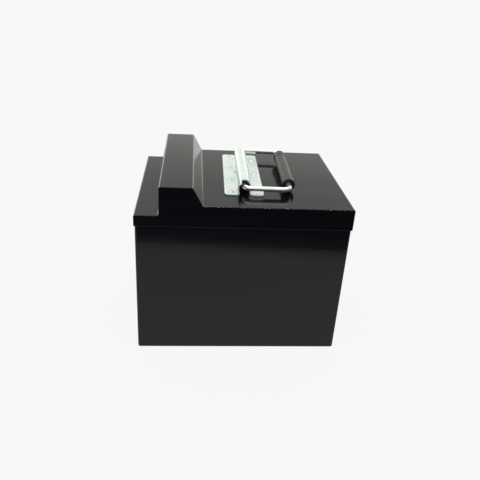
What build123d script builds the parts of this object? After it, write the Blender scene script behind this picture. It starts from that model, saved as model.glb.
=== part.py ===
"""Steel-cased 16-cell battery pack with a stepped lid and a sprung carrying handle.

Frame: origin at the middle of the footprint on the base, +Z up, -Y the front face, -X the end
with the low ledge and the raised connector housing. All sizes are in millimetres.
"""

import os
from math import cos, radians, sin

from build123d import *

# ---- Case and lid ---------------------------------------------------------------------------
LID_X = 260.0  # lid, outside width
LID_Y = 216.0  # lid, outside depth
SHEET = 1.0  # steel sheet of the case and the lid
LID_GAP = 0.15  # clearance between the lid's skirt and the case wall
SKIRT_BOTTOM_Z = 174.8
LEDGE_Z = 188.8  # top of the low ledge
TOP_Z = 201.8  # top of the main deck, which carries the handle
HUMP_Z = 224.3  # top of the raised connector housing
HUMP_LEFT_X = -101.0
HUMP_RIGHT_X = -62.0
SLOPE_FOOT_X = -49.8
CASE_X = LID_X - 2 * (SHEET + LID_GAP)
CASE_Y = LID_Y - 2 * (SHEET + LID_GAP)
RIM_Z = LEDGE_Z - SHEET - LID_GAP
CASE_CORNER_R = 2.5  # bend at the case's upright edges
CASE_FOOT_R = 3.0  # bend at the case's bottom edges
FOLD_R = 2.2  # bend along the lid's folded edges
HUMP_FOLD_R = 2.6
VALLEY_R = 2.4  # inside bends of the lid
WELD_EDGE_R = 0.9  # ground weld where the lid's end plates meet the folded sheet
SKIRT_EDGE_R = 0.45  # broken edge along the bottom of the skirt

# ---- Lid screws -----------------------------------------------------------------------------
SCREW_Z = 182.8
SCREW_X = 95.5  # from the middle, on the front and the back
SCREW_R = 1.45
SCREW_HEAD_R = 2.4
SCREW_HEAD_H = 1.2
RIM_NUT_R = 3.4
RIM_NUT_T = 3.0
RIM_NUT_COLLAR_R = 2.1

# ---- Handle ---------------------------------------------------------------------------------
HANDLE_Y = 4.6  # middle of the handle's plate, behind the middle of the lid
HANDLE_TURN = 1.3  # the whole handle is riveted on slightly askew, in degrees
PLATE_X0, PLATE_X1 = -21.7, 26.4
PLATE_HALF_Y = 77.5
PLATE_T = 1.5
PLATE_CORNER_R = 4.5
HINGE_X = 2.8
HINGE_H = 8.9  # barrel's axis above the deck
HINGE_Z = TOP_Z + HINGE_H
BARREL_R = 7.8  # outside of the plate's raised barrel
BARREL_IN_R = BARREL_R - PLATE_T
BARREL_Y0, BARREL_Y1 = -60.0, 65.0
BARREL_FOOT_R = 1.5  # bend where the barrel's walls rise from the flanges
LEG_SHORT = 4.0  # the left wall stops short of the barrel's ends
TONGUE_Y0, TONGUE_Y1 = -70.0, 79.5  # tips of the stop tongues, which run on past the barrel
TONGUE_DEG = 125.5  # a tongue's straight upper edge, from +X
TONGUE_TIP_W = 1.1
TONGUE_WAIST = (4.4, 3.6)  # from the tip along Y, and the tongue's width there
TONGUE_ROOT_W = 5.7
NOTCH_R = 1.7  # relief notches at the foot of the barrel
NOTCH_Y = 2.5
ROD_R = 3.3
ARM = 55.3  # rod's axis to grip's axis
BAIL_Y = 1.5  # middle of the bail
BAIL_RISE_H = 1.0  # the loose rod's middle over the barrel's axis
BAIL_RISE = 1.35  # and its rear end sits higher than its front end, in degrees
ARM_HALF_Y = 70.0
BARREL_BEND_R = 8.0
GRIP_BEND_R = 9.0
ROD_END_GAP = 4.0  # half the gap between the rod's two ends
BUSH_LEN = 10.0
BUSH_SET_IN = 6.0
BUSH_CLEARANCE = 0.06
GRIP_HALF = 54.0
GRIP_R = 7.8
GRIP_COLLAR_R = 8.2
GRIP_COLLAR_LEN = 13.0
GRIP_GROOVE = 1.6
SPRING_WIRE_R = 0.55
SPRING_R = 4.25
SPRING_PITCH = 2.6
SPRING_TURNS = 13.5  # the odd half turn brings both legs down to the deck
SPRING_FOOT_GAP = 0.6  # lets the tilted spring's front leg clear the deck
RIVET_LEFT_X = -13.3
RIVET_RIGHT_X = 19.0
RIVET_LEFT_Y = (-69.0, -27.0, 21.5, 70.0)
RIVET_RIGHT_Y = (-59.5, -2.5, 54.5)
RIVET_R = 2.4
RIVET_LEFT_HEAD_R = 3.5
RIVET_RIGHT_HEAD_R = 4.3
RIVET_HEAD_H = 2.0
RIVET_BULB_R = 3.6
RIVET_BULB_H = 4.0
STEM_R = 1.25

# ---- Sockets on the raised housing's outer wall ---------------------------------------------
SOCKET_Z = 204.8
DISCHARGE_Y = -42.0
CHARGE_Y = 38.0
FLANGE_T = 1.4
DISCHARGE_FLANGE = (50.0, 20.0)
DISCHARGE_BODY = (34.0, 16.4)
DISCHARGE_DEPTH = 30.0
CAVITY = (14.0, 12.0)
CAVITY_DEPTH = 20.0
CAVITY_PITCH = 16.0
BLADE = (8.0, 2.0)
BLADE_DROP = -3.6  # blade's middle below the cavity's middle
BLADE_TIP_IN = 4.0  # blade's tip behind the socket's face
BLADE_TAIL = 6.0
CHARGE_FLANGE = (49.0, 21.0)
CHARGE_BODY = (27.0, 17.0)
CHARGE_DEPTH = 22.0
INLET = (23.0, 13.0)
INLET_DEPTH = 16.0
PIN = (2.0, 4.0)
PIN_SPREAD = 7.0
PIN_TAIL = 5.0
SOCKET_SCREW_R = 1.45
COUNTERSINK_R = 2.6
COUNTERSINK_T = 1.2
SOCKET_SCREW_OFF = {DISCHARGE_Y: 21.0, CHARGE_Y: 20.0}
NUT_R = 3.1
NUT_T = 2.4

# ---- Cell block -----------------------------------------------------------------------------
CELLS_PER_ROW = 8
CELL_T = 29.7
CELL_W = 98.0
CELL_H = 148.0
CELL_EDGE_R = 2.0
CELL_PAD_T = 1.0
BOARD_T = 1.5
BASE_PAD_T = 5.0
CELL_Z = SHEET + BASE_PAD_T
CELL_TOP = CELL_Z + CELL_H
PITCH = CELL_T + CELL_PAD_T
ROW_Y = (CELL_W + BOARD_T) / 2
BLOCK_X = CELLS_PER_ROW * CELL_T + (CELLS_PER_ROW - 1) * CELL_PAD_T
BLOCK_Y = 2 * CELL_W + BOARD_T
POST_OFF = 30.0
POST_R = 6.0
POST_H = 3.5
LINK_T = 2.0
LINK_W = 16.0
BOLT_R = 2.9
BOLT_FLANGE_R = 6.0
BOLT_FLANGE_T = 1.4
BOLT_HEAD_R = 5.0
BOLT_HEAD_H = 3.6
STRAP_T = 0.6
STRAP_H = 16.0
STRAP_Z = (48.0, 112.0)
LINK_Z = CELL_TOP + POST_H
TOP_BOARD_Z = LINK_Z + LINK_T + BOLT_FLANGE_T + BOLT_HEAD_H + 2.0
TOP_BOARD_T = 2.0
TOP_BOARD_X0 = -88.0

# ---- Battery management board ---------------------------------------------------------------
BMS_X, BMS_Y = 48.0, 0.0
BMS_SIZE = (146.0, 84.0)
BMS_T = 1.6
STANDOFF_H = 6.0
BMS_Z = TOP_BOARD_Z + TOP_BOARD_T + STANDOFF_H
FET = (10.0, 9.0, 4.4)
FETS = 8
SINK_BASE = 2.6
SINK_FIN_H = 4.0
SINK_FIN_T = 1.6
SINK_FINS = 9
HEADER = (38.0, 8.0, 6.0)
HEADER_X = 40.0
HEADER_Y = -37.0
BOARD_SLOT = (34.0, 68.0, -53.0, -44.0)  # opening in the top board for the thin leads
LOOM_Y = 40.0  # the balance loom's two runs, from the middle
LOOM_Z = 163.0
LOOM_R = 2.0
LOOM_CROSS_R = 1.8
LOOM_RISER_R = 1.7
JOINT_PROUD = 0.2  # a corner ball's radius over its bar's
LOOM_CROSS_X = 30.7
TAP_R = 0.6
SENSOR = (46.0, -60.0)
SENSOR_LEAD_X = 63.0
LEAD_R = 3.0
CHARGE_LEAD_R = 1.6
LUG_T = LINK_T
LUG_R = 7.0


def block(x0, x1, y0, y1, z0, z1):
    """A box between its two corners."""
    return Pos((x0 + x1) / 2, (y0 + y1) / 2, (z0 + z1) / 2) * Box(x1 - x0, y1 - y0, z1 - z0)


def rod_x(radius, x0, x1, y, z):
    """A cylinder along X."""
    return Pos((x0 + x1) / 2, y, z) * Rot(0, 90, 0) * Cylinder(radius, abs(x1 - x0))


def rod_y(radius, y0, y1, x, z):
    """A cylinder along Y."""
    return Pos(x, (y0 + y1) / 2, z) * Rot(90, 0, 0) * Cylinder(radius, abs(y1 - y0))


def rod_z(radius, z0, z1, x, y):
    """A cylinder along Z."""
    return Pos(x, y, (z0 + z1) / 2) * Cylinder(radius, abs(z1 - z0))


def edges_near(shape, axis, x=None, z=None, y=None, tol=0.05):
    """The shape's edges along an axis whose middles lie at the given coordinates."""
    found = []
    for edge in shape.edges().filter_by(axis):
        middle = edge.center()
        wanted = ((x, middle.X), (y, middle.Y), (z, middle.Z))
        if all(want is None or abs(want - got) < tol for want, got in wanted):
            found.append(edge)
    return found


def screw_places():
    """Lid screws on the front and the back, as (x, y, outward way along Y)."""
    return [(sx * SCREW_X, sy * LID_Y / 2, sy) for sy in (-1, 1) for sx in (-1, 1)]


def skirt_rod(radius, place, start, end):
    """A cylinder square to the lid's skirt, from start to end mm outside the skirt's face."""
    x, y, out = place
    return rod_y(radius, y + out * start, y + out * end, x, SCREW_Z)


def turned(shape):
    """The shape turned about the middle of the handle's plate, as the handle is riveted on."""
    middle = Pos(HINGE_X, HANDLE_Y, 0)
    return middle * Rot(0, 0, -HANDLE_TURN) * middle.inverse() * shape


def on_rod(shape):
    """The shape moved from the barrel's axis to the loose rod's axis."""
    middle = Pos(HINGE_X, BAIL_Y, HINGE_Z)
    return turned(Pos(0, 0, BAIL_RISE_H) * middle * Rot(BAIL_RISE, 0, 0) * middle.inverse() * shape)


def rivet_spots():
    """The rivets as (x, y, head radius), on the plate before it is turned."""
    left = [(RIVET_LEFT_X, HANDLE_Y + y, RIVET_LEFT_HEAD_R) for y in RIVET_LEFT_Y]
    return left + [(RIVET_RIGHT_X, HANDLE_Y + y, RIVET_RIGHT_HEAD_R) for y in RIVET_RIGHT_Y]


def socket_screw_places():
    """Centres of the sockets' screws in the wall's plane, as (y, z)."""
    return [(y + s * off, SOCKET_Z) for y, off in SOCKET_SCREW_OFF.items() for s in (-1, 1)]


def cell_places():
    """Cell centres in series order: along the front row, then back along the rear row."""
    first = -(BLOCK_X - CELL_T) / 2
    xs = [first + i * PITCH for i in range(CELLS_PER_ROW)]
    return [(x, -ROW_Y) for x in xs] + [(x, ROW_Y) for x in reversed(xs)]


def post_places():
    """Both terminal posts of every cell, inner post first."""
    return [
        ((x, y - POST_OFF * (1 if y > 0 else -1)), (x, y + POST_OFF * (1 if y > 0 else -1)))
        for x, y in cell_places()
    ]


# ---- Casing ---------------------------------------------------------------------------------
def make_case():
    """Folded steel tray, open at the top, with holes for the rim nuts."""
    outer = block(-CASE_X / 2, CASE_X / 2, -CASE_Y / 2, CASE_Y / 2, 0, RIM_Z)
    outer = fillet(outer.edges().filter_by(Axis.Z), CASE_CORNER_R)
    outer = fillet(outer.faces().sort_by(Axis.Z)[0].edges(), CASE_FOOT_R)
    case = offset(outer, amount=-SHEET, openings=outer.faces().sort_by(Axis.Z)[-1])
    for place in screw_places():
        case -= skirt_rod(RIM_NUT_COLLAR_R, place, -8, 0)
    return case


def lid_profile(inset):
    """The lid's cross-section, set in from the outside by a wall."""
    slope = (HUMP_RIGHT_X - SLOPE_FOOT_X, HUMP_Z - TOP_Z)
    length = (slope[0] ** 2 + slope[1] ** 2) ** 0.5
    shift = inset * (length + slope[0]) / slope[1]  # how far a slope's end slides when it is set in
    left, right = -LID_X / 2 + inset, LID_X / 2 - inset
    bottom = SKIRT_BOTTOM_Z - (5 if inset else 0)
    return [
        (left, bottom),
        (left, LEDGE_Z - inset),
        (HUMP_LEFT_X + inset, LEDGE_Z - inset),
        (HUMP_LEFT_X + inset, HUMP_Z - inset),
        (HUMP_RIGHT_X - shift, HUMP_Z - inset),
        (SLOPE_FOOT_X - shift, TOP_Z - inset),
        (right, TOP_Z - inset),
        (right, bottom),
    ]


def lid_block(inset):
    """The lid's profile as a solid, as deep as the lid less a wall at each end."""
    points = [(x, 0, z) for x, z in lid_profile(inset)]
    face = make_face(Polyline(*points, close=True))
    half = LID_Y / 2 - inset
    return Pos(0, -half, 0) * extrude(face, amount=2 * half, dir=(0, 1, 0))


def make_lid():
    """Stepped sheet-steel lid with its skirt, raised housing and all holes."""
    outer = lid_block(0)
    folds = (
        (-LID_X / 2, LEDGE_Z, FOLD_R),
        (HUMP_LEFT_X, HUMP_Z, HUMP_FOLD_R),
        (HUMP_RIGHT_X, HUMP_Z, HUMP_FOLD_R),
        (LID_X / 2, TOP_Z, FOLD_R),
        (HUMP_LEFT_X, LEDGE_Z, VALLEY_R),
        (SLOPE_FOOT_X, TOP_Z, VALLEY_R),
    )
    for x, z, radius in folds:
        outer = fillet(edges_near(outer, Axis.Y, x=x, z=z), radius)
    for side in (-1, 1):
        face = outer.faces().sort_by(Axis.Y)[0 if side < 0 else -1]
        rim = [e for e in face.edges() if e.center().Z > SKIRT_BOTTOM_Z + 0.1]
        outer = fillet(rim, WELD_EDGE_R)
    outer = fillet(outer.faces().sort_by(Axis.Z)[0].edges(), SKIRT_EDGE_R)
    lid = outer - lid_block(SHEET)
    for place in screw_places():
        lid -= skirt_rod(SCREW_R + 0.2, place, -5, 2)
    for x, y, _ in rivet_spots():
        lid -= turned(rod_z(RIVET_R, TOP_Z - 5, TOP_Z + 5, x, y))
    for y, size in ((DISCHARGE_Y, DISCHARGE_BODY), (CHARGE_Y, CHARGE_BODY)):
        half_y, half_z = size[0] / 2 + 0.2, size[1] / 2 + 0.2
        x0, x1 = HUMP_LEFT_X - 1, HUMP_LEFT_X + 4
        lid -= block(x0, x1, y - half_y, y + half_y, SOCKET_Z - half_z, SOCKET_Z + half_z)
    for y, z in socket_screw_places():
        lid -= rod_x(SOCKET_SCREW_R + 0.15, HUMP_LEFT_X - 1, HUMP_LEFT_X + 4, y, z)
    return lid


def make_lid_screws():
    """Four pan-head screws through the skirt, each with a cross recess."""
    solids = []
    for place in screw_places():
        head = skirt_rod(SCREW_HEAD_R, place, 0, SCREW_HEAD_H)
        x, y, out = place
        outer = head.faces().sort_by_distance((x, y + 50 * out, SCREW_Z))[0]
        head = fillet(outer.edges(), 0.75)
        screw = head + skirt_rod(SCREW_R, place, -7.5, 0.2)
        for long_z in (1.4, 0.3):
            half = 1.7 - long_z
            y0, y1 = sorted((y + out * 0.5, y + out * 3))
            screw -= block(x - half, x + half, y0, y1, SCREW_Z - long_z, SCREW_Z + long_z)
        solids.append(screw)
    return Compound(solids)


def make_rim_nuts():
    """Clinch nuts pressed into the case wall for the lid's screws."""
    inner = -(SHEET + LID_GAP)
    solids = []
    for place in screw_places():
        nut = skirt_rod(RIM_NUT_R, place, inner - SHEET - RIM_NUT_T, inner - SHEET)
        nut += skirt_rod(RIM_NUT_COLLAR_R, place, inner - SHEET - 1, inner)
        solids.append(nut - skirt_rod(SCREW_R + 0.05, place, -12, 0))
    return Compound(solids)


# ---- Handle ---------------------------------------------------------------------------------
def barrel_tube(y0, y1):
    """A length of the barrel's round wall, all the way round."""
    outside = rod_y(BARREL_R, y0, y1, HINGE_X, HINGE_Z)
    return outside - rod_y(BARREL_IN_R, y0 - 1, y1 + 1, HINGE_X, HINGE_Z)


def make_tongue(root, tip):
    """Tapered lug on the barrel's upper left, which stops the bail when it is raised."""
    way = 1 if tip > root else -1
    waist = tip - way * TONGUE_WAIST[0]
    outline = [
        (root - way, 0),
        (tip, 0),
        (tip, -TONGUE_TIP_W),
        (waist, -TONGUE_WAIST[1]),
        (root + way, -TONGUE_ROOT_W),
        (root - way, -TONGUE_ROOT_W),
    ]
    face = make_face(Polyline(*[(0, y, across) for y, across in outline], close=True))
    lug = extrude(face, amount=BARREL_R + 1, dir=(1, 0, 0))
    lug = Pos(HINGE_X, 0, HINGE_Z) * Rot(0, -TONGUE_DEG, 0) * Rot(180, 0, 0) * mirror(lug, Plane.XZ)
    return barrel_tube(*sorted((root - way, tip))) & lug


def make_handle_plate():
    """Stamped plate: two riveted flanges joined by a raised barrel with stop tongues."""
    y0, y1 = HANDLE_Y - PLATE_HALF_Y, HANDLE_Y + PLATE_HALF_Y
    z0, z1 = TOP_Z, TOP_Z + PLATE_T
    plate = None
    for x0, x1 in ((PLATE_X0, HINGE_X - BARREL_IN_R), (HINGE_X + BARREL_IN_R, PLATE_X1)):
        flange = block(x0, x1, y0, y1, z0, z1)
        flange = fillet(flange.edges().filter_by(Axis.Z), PLATE_CORNER_R)
        plate = flange if plate is None else plate + flange
    arch = barrel_tube(BARREL_Y0, BARREL_Y1)
    reach = BARREL_R + 1
    arch &= block(HINGE_X - reach, HINGE_X + reach, BARREL_Y0, BARREL_Y1, HINGE_Z, HINGE_Z + reach)
    plate += arch
    for side, short in ((-1, LEG_SHORT), (1, 0)):
        leg = sorted((HINGE_X + side * BARREL_IN_R, HINGE_X + side * BARREL_R))
        plate += block(*leg, BARREL_Y0 + short, BARREL_Y1 - short, z0, HINGE_Z)
    feet = [edges_near(plate, Axis.Y, x=HINGE_X + side * BARREL_R, z=z1) for side in (-1, 1)]
    plate = fillet(feet[0] + feet[1], BARREL_FOOT_R)
    for side in (-1, 1):
        plate -= rod_z(NOTCH_R, z0 - 1, z0 + 3, HINGE_X + side * BARREL_R, HANDLE_Y + NOTCH_Y)
    plate += make_tongue(BARREL_Y0, TONGUE_Y0) + make_tongue(BARREL_Y1, TONGUE_Y1)
    for x, y, _ in rivet_spots():
        plate -= rod_z(RIVET_R, z0 - 1, z1 + 1, x, y)
    return turned(plate)


def bail_route():
    """Centreline of the bail's rod, lying flat."""
    near, far = BAIL_Y - ARM_HALF_Y, BAIL_Y + ARM_HALF_Y
    points = [
        (HINGE_X, BAIL_Y - ROD_END_GAP, HINGE_Z),
        (HINGE_X, near, HINGE_Z),
        (HINGE_X + ARM, near, HINGE_Z),
        (HINGE_X + ARM, far, HINGE_Z),
        (HINGE_X, far, HINGE_Z),
        (HINGE_X, BAIL_Y + ROD_END_GAP, HINGE_Z),
    ]
    radii = [BARREL_BEND_R, GRIP_BEND_R, GRIP_BEND_R, BARREL_BEND_R]
    return FilletPolyline(*points, radius=radii)


def swept(path, radius):
    """A round bar along a path."""
    start = Plane(origin=path @ 0, z_dir=path % 0)
    return sweep(start * Circle(radius), path=path)


def make_bail():
    """Bent round bar that carries the grip."""
    return on_rod(swept(bail_route(), ROD_R))


def make_grip():
    """Rubber sleeve with a raised collar at each end."""
    collar = GRIP_HALF - GRIP_COLLAR_LEN
    outline = [
        (ROD_R, -GRIP_HALF),
        (GRIP_COLLAR_R - 1, -GRIP_HALF),
        (GRIP_COLLAR_R, -GRIP_HALF + 1),
        (GRIP_COLLAR_R, -collar - GRIP_GROOVE),
        (GRIP_R - 0.4, -collar - GRIP_GROOVE / 2),
        (GRIP_R, -collar),
        (GRIP_R, collar),
        (GRIP_R - 0.4, collar + GRIP_GROOVE / 2),
        (GRIP_COLLAR_R, collar + GRIP_GROOVE),
        (GRIP_COLLAR_R, GRIP_HALF - 1),
        (GRIP_COLLAR_R - 1, GRIP_HALF),
        (ROD_R, GRIP_HALF),
    ]
    face = make_face(Polyline(*[(x, y, 0) for x, y in outline], close=True))
    return on_rod(Pos(HINGE_X + ARM, BAIL_Y, HINGE_Z) * revolve(face, axis=Axis.Y))


def make_bush(mouth):
    """Nylon bush set inside the barrel's end, bored off centre where the loose rod runs."""
    way = 1 if mouth > 0 else -1
    y0, y1 = sorted((mouth - way * BUSH_SET_IN, mouth - way * (BUSH_SET_IN + BUSH_LEN)))
    radius = BARREL_IN_R - 0.05
    bush = rod_y(radius, y0, y1, HINGE_X, HINGE_Z)
    bush += block(HINGE_X - radius, HINGE_X + radius, y0, y1, TOP_Z + 0.05, HINGE_Z)
    bore = rod_y(ROD_R + BUSH_CLEARANCE, y0 - 5, y1 + 5, HINGE_X, HINGE_Z)
    return turned(bush) - on_rod(bore)


def make_spring():
    """Torsion spring round the rod's ends, with both legs bearing on the deck."""
    length = SPRING_PITCH * SPRING_TURNS
    coil = Helix(pitch=SPRING_PITCH, height=length, radius=SPRING_R)
    leg = HINGE_H + BAIL_RISE_H - SPRING_WIRE_R - SPRING_FOOT_GAP
    first = Line(coil @ 0 - (coil % 0) * leg, coil @ 0)
    last = Line(coil @ 1, coil @ 1 + (coil % 1) * leg)
    wire = swept(Wire([first, coil, last]), SPRING_WIRE_R)
    wire = Pos(HINGE_X, BAIL_Y - length / 2, HINGE_Z) * Rot(-90, 0, 0) * Rot(0, 0, 180) * wire
    return on_rod(wire)


def make_rivets():
    """Blind rivets through the handle's plate and the lid."""
    seat = TOP_Z + PLATE_T
    under = TOP_Z - SHEET
    solids = []
    for x, y, head_r in rivet_spots():
        ball = (head_r**2 + RIVET_HEAD_H**2) / (2 * RIVET_HEAD_H)
        dome = Pos(x, y, seat + RIVET_HEAD_H - ball) * Sphere(ball)
        head = dome & rod_z(head_r + 1, seat, seat + 9, x, y)
        bulb = rod_z(RIVET_BULB_R, under - RIVET_BULB_H, under, x, y)
        bulb = fillet(bulb.edges(), 1.2)
        shank = rod_z(RIVET_R, under - 1, seat + 0.2, x, y)
        bore = rod_z(STEM_R + 0.05, under - 9, seat + 9, x, y)
        solids.append(turned(head + bulb + shank - bore))
    return Compound(solids)


def make_rivet_stems():
    """The pulled stems left inside the blind rivets."""
    top = TOP_Z + PLATE_T + RIVET_HEAD_H - 0.6
    foot = TOP_Z - SHEET - RIVET_BULB_H
    solids = []
    for x, y, _ in rivet_spots():
        solids.append(turned(rod_z(STEM_R, foot, top, x, y) + rod_z(2.3, foot - 1.8, foot, x, y)))
    return Compound(solids)


# ---- Sockets --------------------------------------------------------------------------------
def wall_block(depth0, depth1, y, size, z=SOCKET_Z):
    """A box square to the raised housing's outer wall, by depth behind that wall's face."""
    x0, x1 = HUMP_LEFT_X + depth0, HUMP_LEFT_X + depth1
    half_y, half_z = size[0] / 2, size[1] / 2
    return block(x0, x1, y - half_y, y + half_y, z - half_z, z + half_z)


def countersink(y, z, grow=0.0):
    """A countersunk head's cone in a socket's flange, with its wide end at the flange's face."""
    face = HUMP_LEFT_X - FLANGE_T
    cone = Cone(SOCKET_SCREW_R + grow, COUNTERSINK_R + grow, COUNTERSINK_T)
    return Pos(face + COUNTERSINK_T / 2, y, z) * Rot(0, -90, 0) * cone


def socket_shell(y, flange, body, depth):
    """A panel socket's flange and body, with its two screw holes."""
    plate = wall_block(-FLANGE_T, 0, y, flange)
    plate = fillet(plate.edges().filter_by(Axis.X), 3.0)
    shell = plate + wall_block(-0.5, depth, y, body)
    for sy, sz in socket_screw_places():
        shell -= rod_x(SOCKET_SCREW_R + 0.1, HUMP_LEFT_X - 9, HUMP_LEFT_X + 1, sy, sz)
        shell -= countersink(sy, sz, 0.1)
    return shell


def blade_places():
    """Middles of the discharge socket's two cavities, along Y."""
    return [DISCHARGE_Y + side * CAVITY_PITCH / 2 for side in (-1, 1)]


def make_discharge_socket():
    """Two-pole moulded socket set in the wall."""
    shell = socket_shell(DISCHARGE_Y, DISCHARGE_FLANGE, DISCHARGE_BODY, DISCHARGE_DEPTH)
    for y in blade_places():
        shell -= wall_block(-FLANGE_T - 1, CAVITY_DEPTH - FLANGE_T, y, CAVITY)
        shell -= wall_block(0, DISCHARGE_DEPTH + 1, y, BLADE, SOCKET_Z + BLADE_DROP)
    return shell


def make_discharge_contacts():
    """Two flat contact blades with tails for the leads."""
    tip = BLADE_TIP_IN - FLANGE_T
    end = DISCHARGE_DEPTH + BLADE_TAIL
    z = SOCKET_Z + BLADE_DROP
    return Compound([wall_block(tip, end, y, BLADE, z) for y in blade_places()])


def pin_places():
    """Middles of the charge inlet's three pins, as (y, z)."""
    low, high = SOCKET_Z - 1.5, SOCKET_Z + 3.5
    return [(CHARGE_Y - PIN_SPREAD, low), (CHARGE_Y + PIN_SPREAD, low), (CHARGE_Y, high)]


def make_charge_inlet():
    """Three-pin moulded inlet set in the wall."""
    shell = socket_shell(CHARGE_Y, CHARGE_FLANGE, CHARGE_BODY, CHARGE_DEPTH)
    mouth = wall_block(-FLANGE_T - 1, INLET_DEPTH - FLANGE_T, CHARGE_Y, INLET)
    top = [e for e in mouth.edges().filter_by(Axis.X) if e.center().Z > SOCKET_Z]
    shell -= chamfer(top, 3.5)
    for y, z in pin_places():
        shell -= wall_block(INLET_DEPTH - FLANGE_T - 1, CHARGE_DEPTH + 1, y, PIN, z)
    return shell


def make_charge_pins():
    """Three flat pins with tails for the leads."""
    tip, end = 1.5, CHARGE_DEPTH + PIN_TAIL
    return Compound([wall_block(tip, end, y, PIN, z) for y, z in pin_places()])


def make_socket_screws():
    """Four countersunk screws that hold the sockets."""
    solids = []
    face = HUMP_LEFT_X - FLANGE_T
    for y, z in socket_screw_places():
        screw = countersink(y, z) + rod_x(SOCKET_SCREW_R, face + 0.2, HUMP_LEFT_X + 6, y, z)
        for half_y, half_z in ((1.4, 0.3), (0.3, 1.4)):
            screw -= block(face - 1, face + 0.6, y - half_y, y + half_y, z - half_z, z + half_z)
        solids.append(screw)
    return Compound(solids)


def make_socket_nuts():
    """Four hexagon nuts behind the wall."""
    inner = HUMP_LEFT_X + SHEET
    solids = []
    for y, z in socket_screw_places():
        hexagon = extrude(Rot(0, 90, 0) * RegularPolygon(NUT_R, 6), amount=NUT_T, dir=(1, 0, 0))
        nut = Pos(inner, y, z) * hexagon
        solids.append(nut - rod_x(SOCKET_SCREW_R + 0.03, inner - 1, inner + 9, y, z))
    return Compound(solids)


# ---- Cells ----------------------------------------------------------------------------------
def make_cell(place):
    """One prismatic cell's can, with a round vent on top."""
    x, y = place
    can = Pos(x, y, CELL_Z + CELL_H / 2) * Box(CELL_T, CELL_W, CELL_H)
    can = fillet(can.edges().filter_by(Axis.Z), CELL_EDGE_R)
    vent = rod_z(5, CELL_TOP - 0.6, CELL_TOP + 1, x, y) - rod_z(4, 0, CELL_TOP + 2, x, y)
    return can - vent


def make_cell_posts():
    """Threaded terminal posts, two to a cell."""
    solids = []
    for pair in post_places():
        for x, y in pair:
            post = rod_z(POST_R, CELL_TOP, LINK_Z, x, y)
            solids.append(post - rod_z(BOLT_R + 0.05, CELL_TOP + 0.5, LINK_Z + 1, x, y))
    return Compound(solids)


def make_cell_links():
    """Fifteen bars that join the cells in series."""
    posts = post_places()
    solids = []
    for i in range(len(posts) - 1):
        crossing = i == CELLS_PER_ROW - 1
        outer = not crossing and (i if i < CELLS_PER_ROW else i - CELLS_PER_ROW) % 2 == 0
        a, b = posts[i][1 if outer else 0], posts[i + 1][1 if outer else 0]
        x0, x1 = sorted((a[0], b[0]))
        y0, y1 = sorted((a[1], b[1]))
        half = LINK_W / 2
        bar = block(x0 - half, x1 + half, y0 - half, y1 + half, LINK_Z, LINK_Z + LINK_T)
        bar = fillet(bar.edges().filter_by(Axis.Z), 4)
        for x, y in (a, b):
            bar -= rod_z(BOLT_R + 0.1, LINK_Z - 1, LINK_Z + 9, x, y)
        solids.append(bar)
    return Compound(solids)


def make_link_bolts():
    """Flanged bolts, one to a post."""
    seat = LINK_Z + LINK_T
    solids = []
    for pair in post_places():
        for x, y in pair:
            flange = rod_z(BOLT_FLANGE_R, seat, seat + BOLT_FLANGE_T, x, y)
            hexagon = Pos(x, y, seat) * extrude(
                RegularPolygon(BOLT_HEAD_R, 6), amount=BOLT_FLANGE_T + BOLT_HEAD_H
            )
            solids.append(flange + hexagon + rod_z(BOLT_R, CELL_TOP + 0.8, seat + 1, x, y))
    return Compound(solids)


def make_cell_pads():
    """Thin foam sheets between neighbouring cells."""
    solids = []
    for i, (x, y) in enumerate(cell_places()):
        if i % CELLS_PER_ROW == CELLS_PER_ROW - 1:
            continue
        step = 1 if y < 0 else -1
        middle = x + step * PITCH / 2
        half = CELL_PAD_T / 2
        solids.append(
            block(middle - half, middle + half, y - 46, y + 46, CELL_Z + 3, CELL_TOP - 3)
        )
    return Compound(solids)


def make_centre_board():
    """Insulating board between the two rows."""
    half = BOARD_T / 2
    return block(-BLOCK_X / 2, BLOCK_X / 2, -half, half, CELL_Z, CELL_TOP)


def make_end_board(side):
    """Insulating board on one end of the block."""
    x0, x1 = sorted((side * BLOCK_X / 2, side * (BLOCK_X / 2 + BOARD_T)))
    return block(x0, x1, -BLOCK_Y / 2, BLOCK_Y / 2, CELL_Z, CELL_TOP)


def make_side_board(side):
    """Insulating board along one side of the block."""
    y0, y1 = sorted((side * BLOCK_Y / 2, side * (BLOCK_Y / 2 + BOARD_T)))
    half = BLOCK_X / 2 + BOARD_T
    return block(-half, half, y0, y1, CELL_Z, CELL_TOP)


def make_strap(z):
    """Steel band round the block and its boards."""
    half_x, half_y = BLOCK_X / 2 + BOARD_T, BLOCK_Y / 2 + BOARD_T
    outer = block(-half_x - STRAP_T, half_x + STRAP_T, -half_y - STRAP_T, half_y + STRAP_T, z, z + STRAP_H)
    return outer - block(-half_x, half_x, -half_y, half_y, z - 1, z + STRAP_H + 1)


def make_wall_pads():
    """Foam sheets between the strapped block and the case's four walls."""
    wall_x, wall_y = CASE_X / 2 - SHEET, CASE_Y / 2 - SHEET
    block_x = BLOCK_X / 2 + BOARD_T + STRAP_T
    block_y = BLOCK_Y / 2 + BOARD_T + STRAP_T
    z0, z1 = CELL_Z + 2, CELL_TOP - 2
    solids = []
    for side in (-1, 1):
        x0, x1 = sorted((side * (block_x + 0.05), side * (wall_x - 0.05)))
        solids.append(block(x0, x1, -90, 90, z0, z1))
        y0, y1 = sorted((side * (block_y + 0.05), side * (wall_y - 0.05)))
        solids.append(block(-110, 110, y0, y1, z0, z1))
    return Compound(solids)


def make_base_pad():
    """Foam pad that the cells stand on."""
    return block(-122, 122, -100, 100, SHEET, CELL_Z)


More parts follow.
